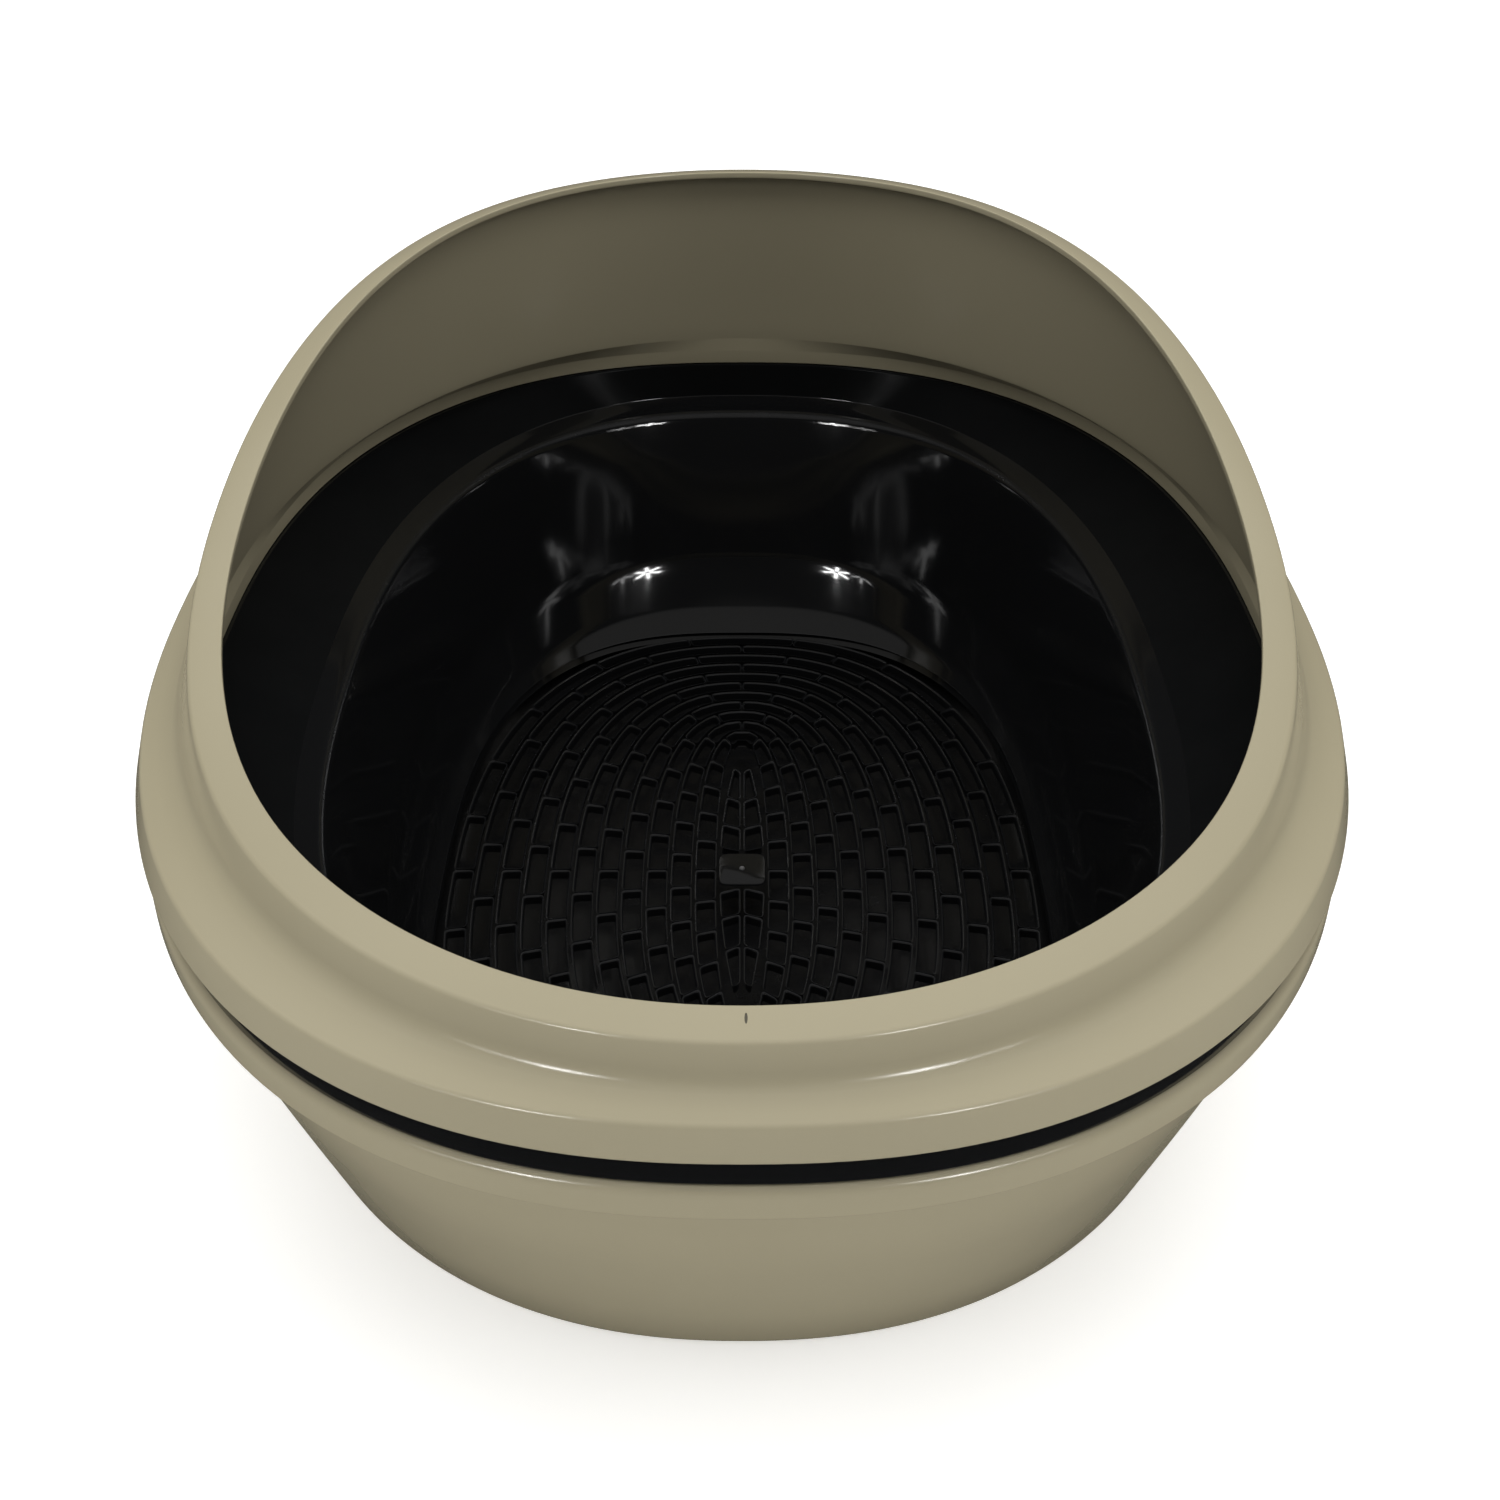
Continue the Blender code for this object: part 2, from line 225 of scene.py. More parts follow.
# ---- mesh helpers -------------------------------------------------------------------------
def mesh_object(name, vertices, faces, material, sharp=50):
    """A closed mesh with smooth shading, but for edges sharper than an angle in degrees."""
    mesh = bpy.data.meshes.new(name)
    mesh.from_pydata([tuple(v) for v in vertices], [], faces)
    mesh.validate()
    bm = bmesh.new()
    bm.from_mesh(mesh)
    bmesh.ops.recalc_face_normals(bm, faces=bm.faces)
    bm.to_mesh(mesh)
    bm.free()
    mesh.shade_smooth()
    mesh.set_sharp_from_angle(angle=radians(sharp))
    mesh.materials.append(material)
    obj = bpy.data.objects.new(name, mesh)
    scene.collection.objects.link(obj)
    return obj


def loft_faces(rows, columns, closed=False, first=0):
    """Quads between rows of vertices that are stored one row after another."""
    faces = []
    for r in range(rows if closed else rows - 1):
        low = first + r * columns
        high = first + (r + 1) % rows * columns
        for i in range(columns):
            j = (i + 1) % columns
            faces.append((low + i, low + j, high + j, high + i))
    return faces


def capped_faces(rows, columns):
    """Quads between the rows, and a flat cap on the first and on the last."""
    last = (rows - 1) * columns
    caps = [tuple(range(columns))[::-1], tuple(range(last, last + columns))]
    return loft_faces(rows, columns) + caps


def tray_rows(corners, wall):
    """A tray's whole skin, from its floor's underside by way of its rim to its floor's top."""
    upper = [oval.points() for oval, cut in corners]
    cuts = [cut for oval, cut in corners]
    lower = far_side(upper, wall)
    return rounded(lower[::-1] + upper, cuts[::-1] + cuts)


def tray(name, corners, wall, material):
    """A moulded tray with a plain floor."""
    rows = tray_rows(corners, wall)
    return mesh_object(name, np.concatenate(rows), capped_faces(len(rows), COLUMNS), material)


# ---- profiles of the nested trays ---------------------------------------------------------
def base_corners():
    """The base tray's upper surface: rolled rim, tapered wall and floor, each with its rounding."""
    rim = Oval(0.2035, 0.2475, 2.30, RIM_TOP)
    foot = Oval(0.1744, 0.2004, 2.22, BASE_WALL)
    return [
        (inset(rim, -0.0001, RIM_TOP - RIM_SKIRT), 0.0007),
        (inset(rim, 0.0002), 0.0038),
        (inset(rim, 0.0080), 0.0020),
        (Oval(0.1916, 0.2322, 2.28, 0.0900), 0.0200),
        (Oval(0.1838, 0.2172, 2.25, 0.0480), 0.0200),
        (foot, 0.0028),
        (inset(foot, 0.0120), 0),
    ]


def liner_corners():
    """The liner's upper surface, a little under the sieve's and clear of it everywhere."""
    flange = Oval(0.1981, 0.2431, 2.30, RIM_TOP + GAP + TRAY_WALL)
    return [
        (flange, 0.0008),
        (Oval(0.1897, 0.2347, 2.37, flange.z), 0.0020),
        (Oval(0.1565, 0.2345, 2.36, 0.1183), 0.0014),
        (Oval(0.1475, 0.2218, 2.41, 0.1140), 0.0020),
        (Oval(0.1400, 0.2068, 2.50, 0.0720), 0.0200),
        (Oval(0.1310, 0.1945, 2.66, 0.0300), 0.0100),
        (Oval(0.1245, 0.1870, 2.70, 0.0150), 0.0060),
        (Oval(0.1140, 0.1740, 2.70, 0.0090), 0),
    ]


def sieve_seat():
    """Outer edge of the groove in which the hood's leg stands."""
    return Oval(0.1916, 0.2366, 2.39, HOOD_SEAT)


def sieve_corners():
    """The sieve tray's upper surface: lip, groove, shelf, ledge, tub wall and the floor's edge."""
    lip = Oval(0.2006, 0.2456, 2.30, RIM_TOP + GAP)
    top = lip.z + LIP_HEIGHT
    seat = sieve_seat()
    return [
        (lip, 0.0006),
        (inset(lip, 0, top), 0.0010),
        (inset(seat, -0.0007, top), 0.0008),
        (seat, 0.0006),
        (inset(seat, 0.0047), 0.0012),
        (Oval(0.1538, 0.2315, 2.36, LEDGE_TOP), 0.0004),
        (Oval(0.1494, 0.2253, 2.385, 0.1191), 0.0040),
        (Oval(0.1451, 0.2192, 2.41, 0.1180), 0.0036),
        (Oval(0.1386, 0.2060, 2.48, 0.0800), 0.0200),
        (Oval(0.1324, 0.1960, 2.55, 0.0510), 0.0055),
        (Oval(0.1243, 0.1825, 2.66, 0.0310), 0.0035),
        (floor_edge(), 0),
    ]


def floor_edge(z=FLOOR_TOP):
    """The oval where the sieve tray's tub ends and its slotted floor begins."""
    outermost = ring_oval(RINGS)
    return Oval(outermost.half_width + FLOOR_BORDER, outermost.half_length + FLOOR_BORDER,
                EDGE_SQUARENESS, z)


# ---- hood ---------------------------------------------------------------------------------
def wall_oval(z, inward=0.0):
    """The outside of the hood's wall at a height: it leans in more at the sides than at the ends."""
    height = z - COLLAR_FRONT
    return Oval(0.1858 - tan(SIDE_LEAN) * height - inward,
                0.2325 - tan(END_LEAN) * height - inward, 2.09, z)


def collar_row(inward, lift):
    """Points that follow the collar's climbing edge, drawn in and raised."""
    edge = wall_oval(COLLAR_FRONT).points()
    share = np.clip((edge[:, 1] - RISE_START) / (RISE_END - RISE_START), 0, 1)
    heights = COLLAR_FRONT + (COLLAR_BACK - COLLAR_FRONT) * (1 - np.cos(pi * share)) / 2
    row = [wall_oval(z, inward).at([i / COLUMNS])[0] for i, z in enumerate(heights)]
    return np.array(row) + (0, 0, lift)


def between(low_row, high_row, share):
    """A row part of the way from one row to another."""
    return low_row + (high_row - low_row) * share


def hood(material):
    """One moulding: skirt, shoulder, cove, wall, collar, and an inner leg that stands in the groove."""
    skirt = Oval(HALF_WIDTH, HALF_LENGTH, 2.30, SKIRT_FOOT)
    leg = Oval(0.1874, 0.2324, 2.39, HOOD_SEAT + GAP)
    cove = Oval(0.1893, 0.2349, 2.15, 0.1549).points()
    outer_edge = collar_row(-0.0002, 0.0002)
    inner_foot = wall_oval(0.1545, HOOD_WALL).points()
    lip_line = wall_oval(0.1500, HOOD_WALL - 0.0003).points()
    inner_edge = collar_row(HOOD_WALL + 0.0004, -0.0030)
    corners = [
        (skirt.points(), 0.0005),
        (Oval(0.2004, 0.2450, 2.30, 0.1508).points(), 0.0011),
        (Oval(0.1935, 0.2390, 2.23, 0.1526).points(), 0.0030),
        (cove, 0.0095),
        (between(cove, outer_edge, 0.55), 0.0200),
        (outer_edge, 0.0011),
        (collar_row(COLLAR_WIDTH, COLLAR_LIFT), 0.0006),
        (collar_row(COLLAR_WIDTH, COLLAR_LIFT - HOOD_WALL), 0.0006),
        (inner_edge, 0.0030),
        (between(inner_foot, inner_edge, 0.50), 0.0200),
        (inner_foot, 0.0060),
        (lip_line, 0.0004),
        (inset(leg, 0.0006, 0.1440).points(), 0.0004),
        (leg.points(), 0.0005),
        (inset(leg, -0.0028).points(), 0.0005),
        (inset(leg, -0.0028, 0.1482).points(), 0.0010),
        (inset(skirt, 0.0064, 0.1488).points(), 0.0010),
        (inset(skirt, 0.0027, SKIRT_FOOT).points(), 0.0005),
    ]
    rows = rounded([row for row, cut in corners], [cut for row, cut in corners], closed=True)
    faces = loft_faces(len(rows), COLUMNS, closed=True)
    return mesh_object("hood_shell", np.concatenate(rows), faces, material)


# ---- sieve floor --------------------------------------------------------------------------
def ring_oval(number):
    """Centre line of an oval rib. Part numbers lie between two ribs."""
    return Oval(RING_PITCH * number, CENTRE_HALF_LENGTH + RING_PITCH_END * number,
                RING_SQUARENESS, FLOOR_TOP)


class RunningLength:
    """Turns of an oval at running lengths from its side (+X) towards its tip (+Y) and beyond."""

    def __init__(self, oval):
        self.turns = np.linspace(-0.25, 0.5, 1201)
        points = oval.at(self.turns)
        steps = np.linalg.norm(np.diff(points, axis=0), axis=1)
        lengths = np.concatenate([[0], np.cumsum(steps)])
        self.lengths = lengths - np.interp(0, self.turns, lengths)
        self.quarter = float(np.interp(0.25, self.turns, self.lengths))

    def turn(self, length):
        return np.interp(length, self.lengths, self.turns)


def bar_length(ring, number, quarter):
    """Running length from the side to a crossbar. Bars spread out towards the tips."""
    share = abs(number) / (BARS / 4)
    spread = BAR_SPREAD * (ring - 4) / (RINGS - 5)
    return copysign(quarter * (share * (1 - spread) + share * share * spread), number)


def ring_slot(ring, way, start, end, grow):
    """Outline of one slot between two ribs, grown all round, and the places of its corners."""
    steps = max(2, round((end - start) / SLOT_STEP))
    turns = way.turn(np.linspace(start - grow, end + grow, steps + 1))
    inner = inset(ring_oval(ring), -RIB / 2 + grow).at(turns)[:, :2]
    outer = inset(ring_oval(ring + 1), RIB / 2 - grow).at(turns)[:, :2]
    return [*inner, *outer[::-1]], (0, steps, steps + 1, 2 * steps + 1)


def soften(outline, corners, cut, steps=3):
    """A flat outline with some of its corners curved over."""
    out = []
    count = len(outline)
    for i, point in enumerate(outline):
        if i not in corners:
            out.append(point)
            continue
        start = point + shortened(outline[i - 1] - point, cut)
        end = point + shortened(outline[(i + 1) % count] - point, cut)
        for t in np.linspace(0, 1, steps + 1):
            out.append((1 - t) ** 2 * start + 2 * t * (1 - t) * point + t * t * end)
    return out


def flipped(outline, flip_x, flip_y):
    """The outline mirrored, and kept running the same way round."""
    points = [np.array((x * flip_x, y * flip_y)) for x, y in outline]
    return points[::-1] if flip_x * flip_y < 0 else points


def ring_slots(ring, grow):
    """All the slots of a ring. Odd rings have a slot over each tip, and even rings a crossbar."""
    way = RunningLength(ring_oval(ring + 0.5))
    odd = ring % 2 == 1
    last = BARS // 4 + (0 if odd else 0.5)
    bars = [bar_length(ring, i - last, way.quarter) for i in range(round(2 * last) + 1)]
    outlines = []
    for low, high in zip(bars, bars[1:]):
        outline, corners = ring_slot(ring, way, low + BAR / 2, high - BAR / 2, grow)
        outline = soften(outline, corners, SLOT_CORNER + grow)
        outlines += [flipped(outline, 1, 1), flipped(outline, -1, 1)]
    if odd:
        start = bars[-1] + BAR / 2
        outline, corners = ring_slot(ring, way, start, 2 * way.quarter - start, grow)
        outline = soften(outline, corners, SLOT_CORNER + grow)
        outlines += [flipped(outline, 1, 1), flipped(outline, 1, -1)]
    return outlines


def lens_half_width(y, grow):
    """Half width of the pointed lens between the two innermost ribs."""
    radius = (LENS_HALF_LENGTH ** 2 + RING_PITCH ** 2) / (2 * RING_PITCH)
    return (radius ** 2 - y ** 2) ** 0.5 - (radius - RING_PITCH) - RIB / 2 + grow


def lens_slots(grow):
    """Pairs of slots beside the lens's spine, either side of the pad, parted by sloping bars."""
    spine = RIB / 2 - grow
    outlines = []
    for low, high in zip(LENS_BARS, LENS_BARS[1:]):
        bottom = low + BAR / 2 - grow
        top = high - BAR / 2 + grow
        outline = [(spine, bottom), (lens_half_width(bottom, grow), bottom + LENS_SLOPE),
                   (lens_half_width(top, grow), top + LENS_SLOPE), (spine, top)]
        outline = soften([np.array(p) for p in outline], (0, 1, 2, 3), SLOT_CORNER + grow)
        outlines += [flipped(outline, x, y) for x in (1, -1) for y in (1, -1)]
    return outlines


def all_slots(grow):
    """Outlines of every slot in the floor, grown all round."""
    slots = [outline for ring in range(1, RINGS) for outline in ring_slots(ring, grow)]
    return slots + lens_slots(grow)


def slot_levels():
    """How far a slot's outline grows at each height, from the floor's top to its underside."""
    levels = []
    for i in range(4):
        angle = pi / 2 * i / 3
        levels.append((SLOT_ROUND * (1 - sin(angle)), FLOOR_TOP - SLOT_ROUND * (1 - cos(angle))))
    levels.append((0, FLOOR_TOP - FLOOR_THICKNESS + 0.0002))
    levels.append((0.0002, FLOOR_TOP - FLOOR_THICKNESS))
    return levels


def pierced_face(vertices, edge, holes):
    """Triangles of a flat face between its edge and its holes, each a list of vertex numbers."""
    loops = [edge, *holes]
    numbers = [n for loop in loops for n in loop]
    flat = [Vector(vertices[n][:2]) for n in numbers]
    faces = []
    first = 0
    for loop in loops:
        faces.append(list(range(first, first + len(loop))))
        first += len(loop)
    _, _, found, origins, _, owners = delaunay_2d_cdt(flat, [], faces, 1, 1e-7, True)
    out = []
    for face, owner in zip(found, owners):
        if len(owner) == 1 and owner[0] == 0:
            out.append(tuple(numbers[origins[i][0]] for i in face))
    return out


def on_shelf(point):
    """Whether a point of the sieve lies between the hood's groove and the ledge above the tub."""
    x, y, z = point
    outside = inset(sieve_seat(), SHELF_INSET)
    reach = abs(x / outside.half_width) ** outside.squareness
    reach += abs(y / outside.half_length) ** outside.squareness
    return reach < 1 and LEDGE_TOP + SHELF_MARGIN < z < HOOD_SEAT - SHELF_MARGIN


def sieve(material, shelf_material):
    """One moulding: the tray's skin, and a floor whose slots have rounded edges."""
    corners = sieve_corners()
    upper = [oval.points() for oval, cut in corners]
    cuts = [cut for oval, cut in corners]
    lower = far_side(upper, TRAY_WALL)[:-1] + [floor_edge(FLOOR_TOP - FLOOR_THICKNESS).points()]
    rows = rounded(lower[::-1] + upper, cuts[::-1] + cuts)
    vertices = list(np.concatenate(rows))
    faces = loft_faces(len(rows), COLUMNS)
    last = (len(rows) - 1) * COLUMNS
    top_holes = []
    bottom_holes = []
    levels = slot_levels()
    for rings in zip(*(all_slots(grow) for grow, z in levels)):
        count = len(rings[0])
        first = len(vertices)
        for outline, (grow, z) in zip(rings, levels):
            vertices += [np.array((x, y, z)) for x, y in outline]
        faces += loft_faces(len(levels), count, first=first)
        top_holes.append(list(range(first, first + count)))
        bottom_holes.append(list(range(len(vertices) - count, len(vertices))))
    faces += pierced_face(vertices, list(range(last, last + COLUMNS)), top_holes)
    faces += pierced_face(vertices, list(range(COLUMNS)), bottom_holes)
    obj = mesh_object("sieve_moulding", vertices, faces, material, sharp=25)
    obj.data.materials.append(shelf_material)
    for polygon in obj.data.polygons:
        if on_shelf(polygon.center):
            polygon.material_index = 1
    return obj


def small_disc(name, centre, half_width, half_length, squareness, height, material, tilt=0.0):
    """A low boss with a rounded edge: a pad, a gate's stub or its mark."""
    rows = []
    for i in range(DISC_STEPS + 1):
        angle = pi / 2 * i / DISC_STEPS
        drawn_in = height * (1 - cos(angle))
        edge = Oval(half_width - drawn_in, half_length - drawn_in, squareness, height * sin(angle))
        rows.append(edge.at(np.arange(DISC_COLUMNS) / DISC_COLUMNS))
    rows.insert(0, rows[0] - (0, 0, DISC_ROOT))
    turn = np.array(Matrix.Rotation(tilt, 3, "X"))
    vertices = np.concatenate(rows) @ turn.T + np.array(centre)
    return mesh_object(name, vertices, capped_faces(len(rows), DISC_COLUMNS), material)


# ---- materials ----------------------------------------------------------------------------
class Nodes:
    """A material's node tree, with short ways to add and join nodes."""

    def __init__(self, name):
        self.material = bpy.data.materials.new(name)
        self.material.use_nodes = True
        self.tree = self.material.node_tree
        self.shader = self.tree.nodes["Principled BSDF"]

    def add(self, kind, **settings):
        node = self.tree.nodes.new(kind)
        for key, value in settings.items():
            setattr(node, key, value)
        return node

    def join(self, source, target):
        self.tree.links.new(source, target)

    def noise(self, scale, detail=3.0, roughness=0.5):
        """Noise over the object's own coordinates. The scale is in cycles a metre."""
        node = self.add("ShaderNodeTexNoise")
        node.inputs["Scale"].default_value = scale
        node.inputs["Detail"].default_value = detail
        node.inputs["Roughness"].default_value = roughness
        self.join(self.place(), node.inputs["Vector"])
        return node.outputs["Fac"]

    def place(self):
        if not hasattr(self, "_place"):
            self._place = self.add("ShaderNodeTexCoord").outputs["Object"]
        return self._place

    def ramp(self, source, low, high, start=0.0, end=1.0):
        """Maps a value between start and end to one between low and high, and holds it there."""
        node = self.add("ShaderNodeMapRange")
        self.join(source, node.inputs["Value"])
        node.inputs["From Min"].default_value = start
        node.inputs["From Max"].default_value = end
        node.inputs["To Min"].default_value = low
        node.inputs["To Max"].default_value = high
        return node.outputs["Result"]

    def sum_or_product(self, operation, first, second):
        """Each of the two may be a number or another node's output."""
        node = self.add("ShaderNodeMath", operation=operation)
        for socket, value in zip(node.inputs, (first, second)):
            if hasattr(value, "links"):
                self.join(value, socket)
            else:
                socket.default_value = value
        return node.outputs["Value"]

    def times(self, first, second):
        return self.sum_or_product("MULTIPLY", first, second)

    def plus(self, first, second):
        return self.sum_or_product("ADD", first, second)

    def belt(self, height, level, foot, low, high, top):
        """A mask round a level: it is full between low and high, and fades to foot and to top."""
        return self.times(self.ramp(height, 0, 1, level + foot, level + low),
                          self.ramp(height, 1, 0, level + high, level + top))

    def mix(self, share, first, second):
        node = self.add("ShaderNodeMix", data_type="RGBA")
        self.join(share, node.inputs["Factor"])
        for socket, value in ((node.inputs["A"], first), (node.inputs["B"], second)):
            if hasattr(value, "links"):
                self.join(value, socket)
            else:
                socket.default_value = value
        return [o for o in node.outputs if o.type == "RGBA"][0]

    def bump(self, height, distance, strength=1.0, under=None):
        """A bump from a height, on top of another one if that is given."""
        node = self.add("ShaderNodeBump")
        node.inputs["Distance"].default_value = distance
        node.inputs["Strength"].default_value = strength
        self.join(height, node.inputs["Height"])
        if under:
            self.join(under, node.inputs["Normal"])
        return node.outputs["Normal"]


def greige_plastic():
    """Satin greige moulding: faint flow mottling, a fine texture and slightly uneven gloss."""
    m = Nodes("greige_plastic")
    grain = m.noise(1600, 2, 0.6)
    colour = m.mix(m.ramp(m.noise(7, 2, 0.5), 0, 1, 0.35, 0.65), GREIGE_DEEP, GREIGE_PALE)
    colour = m.mix(m.ramp(grain, 0, 0.06, 0.45, 0.80), colour, GREIGE_RUBBED)
    m.join(colour, m.shader.inputs["Base Color"])
    m.join(m.ramp(m.noise(40, 5, 0.6), 0.165, 0.195, 0.3, 0.7), m.shader.inputs["Roughness"])
    m.join(m.bump(m.noise(22, 1, 0.4), 0.00020, 0.4), m.shader.inputs["Normal"])
    m.shader.inputs["Specular IOR Level"].default_value = 0.5
    return m.material


def black_plastic():
    """Glossy black moulding: gentle waviness, specks of dust, and a painted sheen (lighter, rougher
    black) on the floor's rib tops and the ledge's rounded edge.
    """
    m = Nodes("black_plastic")
    dust = m.ramp(m.noise(2600, 2, 0.7), 0, 0.5, 0.68, 0.80)
    colour = m.mix(dust, BLACK, BLACK_DUSTY)
    height = m.add("ShaderNodeSeparateXYZ")
    m.join(m.place(), height.inputs["Vector"])
    # Painted sheen: the rib tops and the ledge's rounded edge above the tub get a lighter, rougher black,
    # so they read as highlight lines.
    ribs = m.belt(height.outputs["Z"], FLOOR_TOP, -0.0008, -0.0001, 0.0001, 0.0004)
    edge = m.belt(height.outputs["Z"], LEDGE_TOP, -0.0052, -0.0045, -0.0036, -0.0029)
    painted_sheen = m.times(m.plus(ribs, edge), m.ramp(m.noise(60, 4, 0.6), 0.55, 1, 0.3, 0.7))
    m.join(m.mix(painted_sheen, colour, BLACK_PAINTED_SHEEN), m.shader.inputs["Base Color"])
    gloss = m.ramp(m.noise(30, 5, 0.6), 0.06, 0.10, 0.3, 0.7)
    m.join(m.plus(gloss, m.times(painted_sheen, 0.22)), m.shader.inputs["Roughness"])
    waves = m.bump(m.noise(18, 1, 0.4), 0.0004, 0.30)
    m.join(m.bump(m.noise(700, 2, 0.5), 0.00001, 0.2, waves), m.shader.inputs["Normal"])
    m.shader.inputs["Specular IOR Level"].default_value = 0.5
    return m.material


def black_shelf():
    """The sieve's shelf shows almost no reflections."""
    m = Nodes("black_shelf")
    m.join(m.mix(m.ramp(m.noise(40, 5, 0.6), 0, 1, 0.3, 0.7), SHELF_DARK, SHELF_PALE),
           m.shader.inputs["Base Color"])
    m.join(m.ramp(m.noise(55, 5, 0.6), 0.14, 0.22, 0.3, 0.7), m.shader.inputs["Roughness"])
    m.join(m.bump(m.noise(18, 1, 0.4), 0.0004, 0.30), m.shader.inputs["Normal"])
    m.shader.inputs["Specular IOR Level"].default_value = 0.02
    return m.material


def black_liner():
    """The liner's black plastic, duller than the sieve's, with a faint film on it."""
    m = Nodes("black_liner")
    film = m.ramp(m.noise(35, 5, 0.65), 0, 0.08, 0.4, 0.75)
    m.join(m.mix(film, BLACK, BLACK_DUSTY), m.shader.inputs["Base Color"])
    m.join(m.ramp(m.noise(60, 5, 0.6), 0.18, 0.28, 0.3, 0.7), m.shader.inputs["Roughness"])
    m.join(m.bump(m.noise(18, 1, 0.4), 0.0004, 0.30), m.shader.inputs["Normal"])
    m.shader.inputs["Specular IOR Level"].default_value = 0.22
    return m.material


def gate_mark():
    """The broken face of a sprue: dull, dark and a little rough."""
    m = Nodes("gate_mark")
    m.join(m.mix(m.noise(1500, 2, 0.6), MARK_DARK, MARK_PALE), m.shader.inputs["Base Color"])
    m.shader.inputs["Roughness"].default_value = 0.6
    return m.material


def gate_stub():
    """A sprue's stub on black plastic, whitened where it was cut."""
    m = Nodes("gate_stub")
    m.join(m.mix(m.noise(1800, 2, 0.6), STUB_DARK, STUB_PALE), m.shader.inputs["Base Color"])
    m.shader.inputs["Roughness"].default_value = 0.35
    return m.material


def floor_material():
    """Pale matt floor that glows a little, so that it stays white."""
    m = Nodes("pale_floor")
    pale = m.mix(m.ramp(m.noise(1.5, 3), 0, 1, 0.3, 0.7), FLOOR_GREY, FLOOR_WHITE)
    m.join(pale, m.shader.inputs["Base Color"])
    m.join(pale, m.shader.inputs["Emission Color"])
    m.shader.inputs["Emission Strength"].default_value = FLOOR_GLOW
    m.shader.inputs["Roughness"].default_value = 0.9
    m.shader.inputs["Specular IOR Level"].default_value = 0.1
    return m.material


# ---- studio -------------------------------------------------------------------------------
def floor():
    """A pale plane under the object. It doesn't show in the gloss."""
    bpy.ops.mesh.primitive_plane_add(size=FLOOR_SIZE, location=(0, 0, 0))
    plane = bpy.context.object
    plane.name = "studio_floor"
    plane.data.materials.append(floor_material())
    plane.visible_glossy = False


def area_light(name, place, aim, width, height, radiance, roll=0.0):
    """A rectangular light of a given radiance, so its brightness doesn't depend on its size."""
    data = bpy.data.lights.new(name, "AREA")
    data.shape = "RECTANGLE"
    data.size = width
    data.size_y = height
    data.energy = radiance * pi * width * height
    light = bpy.data.objects.new(name, data)
    facing = (Vector(aim) - Vector(place)).to_track_quat("-Z", "Y").to_matrix()
    light.rotation_euler = (facing @ Matrix.Rotation(roll, 3, "Z")).to_euler()
    light.location = Vector(place)
    light.visible_camera = False
    scene.collection.objects.link(light)
    return light


def lamp(name, hub, aim, radiance):
    """A fan of tubes round a hub, which shows as a star in the gloss."""
    facing = (Vector(aim) - Vector(hub)).to_track_quat("-Z", "Y").to_matrix()
    for i in range(LAMP_TUBES):
        roll = radians(360 / LAMP_TUBES) * i
        away = facing @ Matrix.Rotation(roll, 3, "Z") @ Vector((0, TUBE_REACH, 0))
        tube = area_light(f"{name}_{i}", Vector(hub) + away, Vector(aim) + away,
                          TUBE_WIDTH, TUBE_LENGTH, radiance, roll)
        tube.visible_diffuse = False


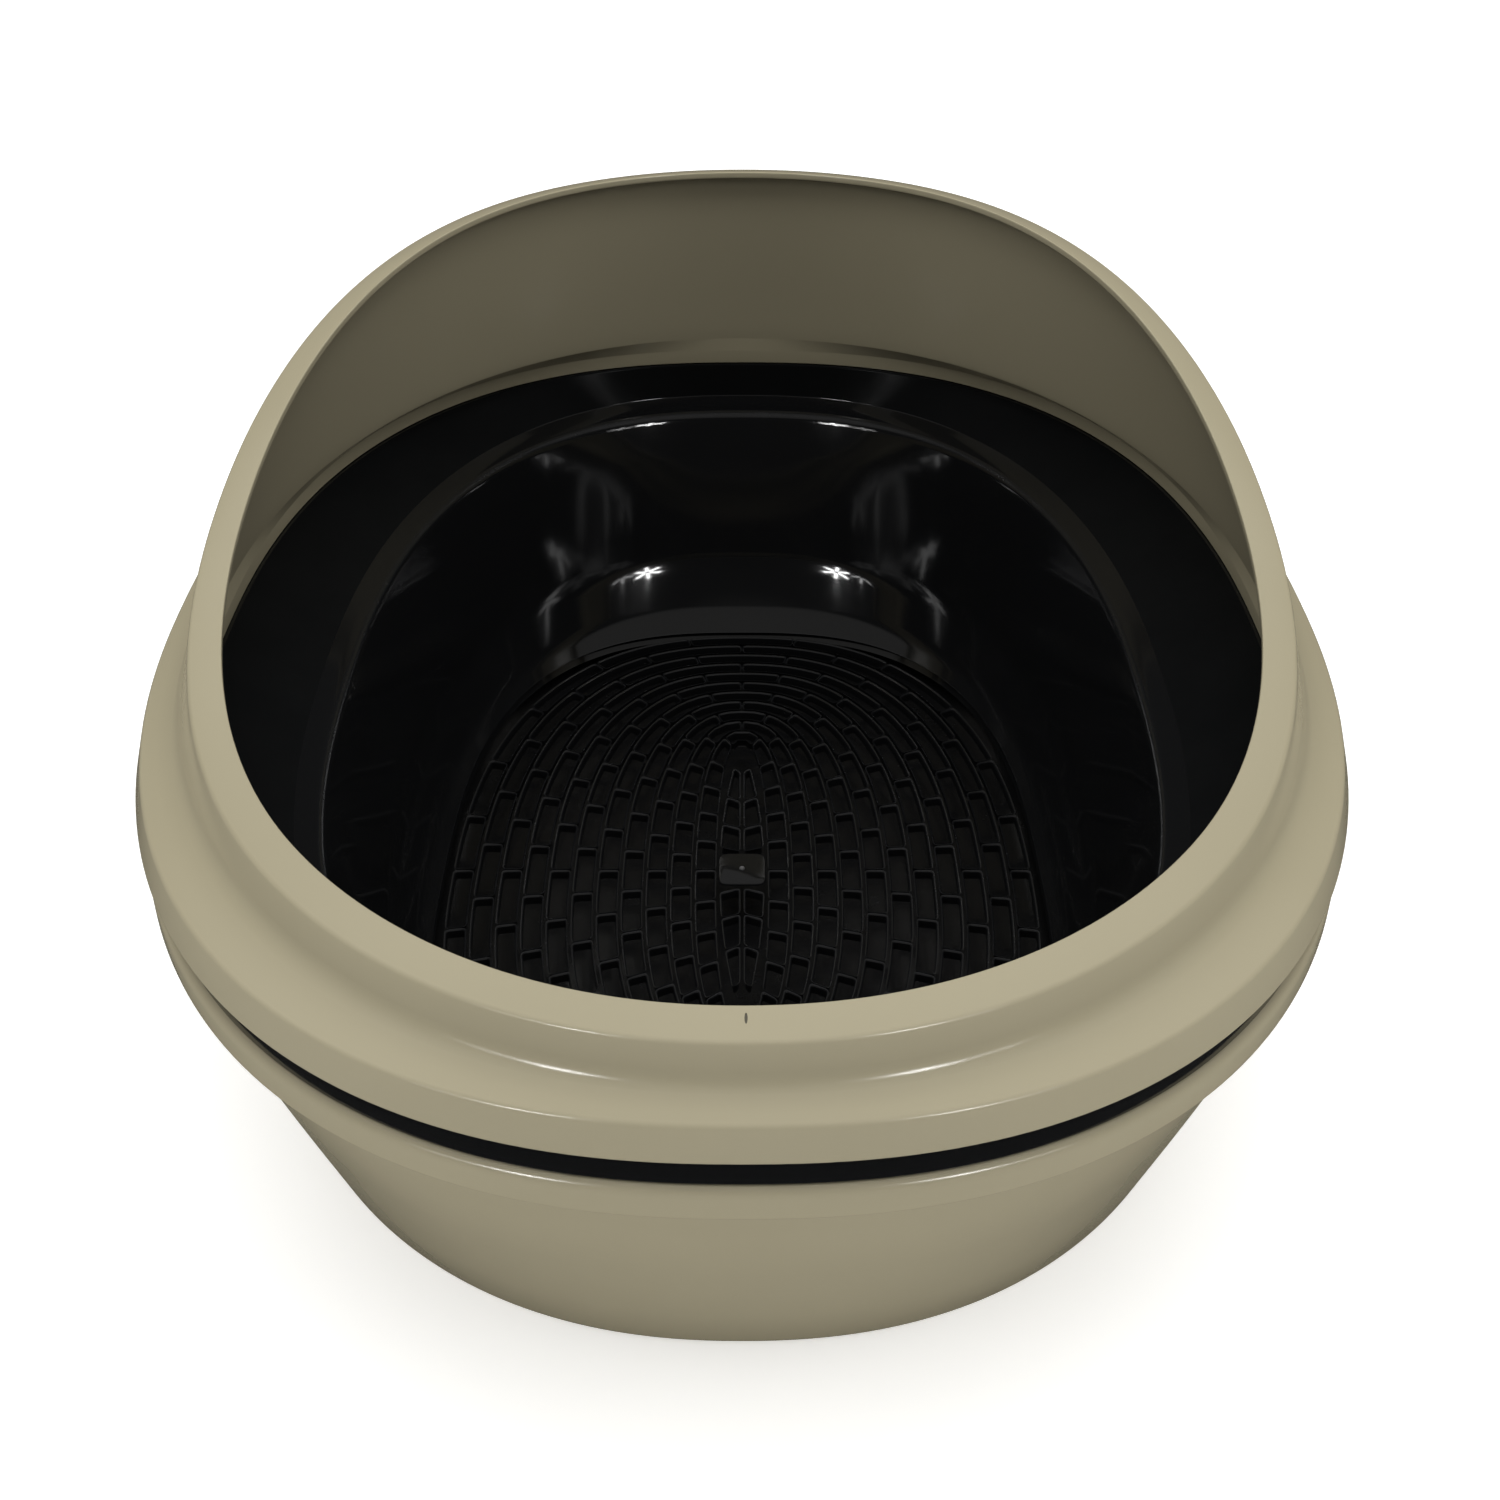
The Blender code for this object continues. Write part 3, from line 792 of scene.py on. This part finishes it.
def sky():
    """Pale behind the floor. In the gloss it is bright overhead and dim all round."""
    world = bpy.data.worlds.new("studio")
    world.use_nodes = True
    tree = world.node_tree
    place = tree.nodes.new("ShaderNodeTexCoord")
    height = tree.nodes.new("ShaderNodeVectorMath")
    height.operation = "DOT_PRODUCT"
    height.inputs[1].default_value = (0, 0, 1)
    tree.links.new(place.outputs["Generated"], height.inputs[0])
    strength = tree.nodes.new("ShaderNodeMapRange")
    tree.links.new(height.outputs["Value"], strength.inputs["Value"])
    strength.inputs["From Min"].default_value = SKY_EDGE[0]
    strength.inputs["From Max"].default_value = SKY_EDGE[1]
    strength.inputs["To Min"].default_value = SKY_LOW
    strength.inputs["To Max"].default_value = SKY_HIGH
    ray = tree.nodes.new("ShaderNodeLightPath")
    seen = tree.nodes.new("ShaderNodeMapRange")
    tree.links.new(ray.outputs["Is Camera Ray"], seen.inputs["Value"])
    seen.inputs["To Max"].default_value = SKY_SEEN
    brighter = tree.nodes.new("ShaderNodeMath")
    brighter.operation = "MAXIMUM"
    tree.links.new(strength.outputs["Result"], brighter.inputs[0])
    tree.links.new(seen.outputs["Result"], brighter.inputs[1])
    background = tree.nodes["Background"]
    background.inputs["Color"].default_value = SKY_COLOUR
    tree.links.new(brighter.outputs["Value"], background.inputs["Strength"])
    scene.world = world


def studio():
    """The lamps show in the gloss. The wide lights only brighten the matt side of the plastic."""
    sky()
    for wide in WIDE_LIGHTS:
        area_light(*wide).visible_glossy = False
    for side in (-1, 1):
        for name, aside, y, z, radiance in LAMPS:
            lamp(f"{name}_{side}", (side * aside, y, z), MIDDLE, radiance)


def camera():
    """Looks down on the low front from the middle."""
    data = bpy.data.cameras.new("camera")
    data.sensor_width = 36
    data.lens = CAMERA_LENS
    data.shift_x = CAMERA_SHIFT
    data.clip_end = 60
    cam = bpy.data.objects.new("camera", data)
    cam.location = CAMERA_PLACE
    cam.rotation_euler = (pi / 2 - CAMERA_DIP, 0, 0)
    scene.collection.objects.link(cam)
    scene.camera = cam


# ---- assembly -----------------------------------------------------------------------------
def place(piece, body, slot, *nodes):
    """Puts a piece on its body, in place of the named CAD nodes. The slot argument is not used."""
    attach(piece, body)
    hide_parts(*nodes)


def main():
    scene.view_settings.view_transform = "Standard"
    greige = greige_plastic()
    black = black_plastic()
    base = tray("base_shell", base_corners(), BASE_WALL, greige)
    place(base, "base", "greige_plastic", "base_tray")
    liner = tray("liner_shell", liner_corners(), TRAY_WALL, black_liner())
    place(liner, "liner", "black_plastic", "liner_tray")
    place(sieve(black, black_shelf()), "sieve", "black_plastic", "sieve_tray", "sieve_floor")
    place(hood(greige), "hood", "greige_plastic", "hood")
    pad = small_disc("lens_pad", (0, 0, FLOOR_TOP), PAD_HALF, PAD_HALF, 6, PAD_RISE, black)
    place(pad, "sieve", "black_plastic")
    stub = small_disc("lens_stub", (0, 0, FLOOR_TOP + STUB_FOOT), STUB_RADIUS, STUB_RADIUS, 2,
                      STUB_RISE, gate_stub())
    place(stub, "sieve", "black_plastic")
    mark = small_disc("collar_mark", MARK_PLACE, MARK_HALF_WIDTH, MARK_HALF_LENGTH, 2, MARK_RISE,
                      gate_mark(), MARK_TILT)
    place(mark, "hood", "greige_plastic")
    floor()
    studio()
    camera()


main()
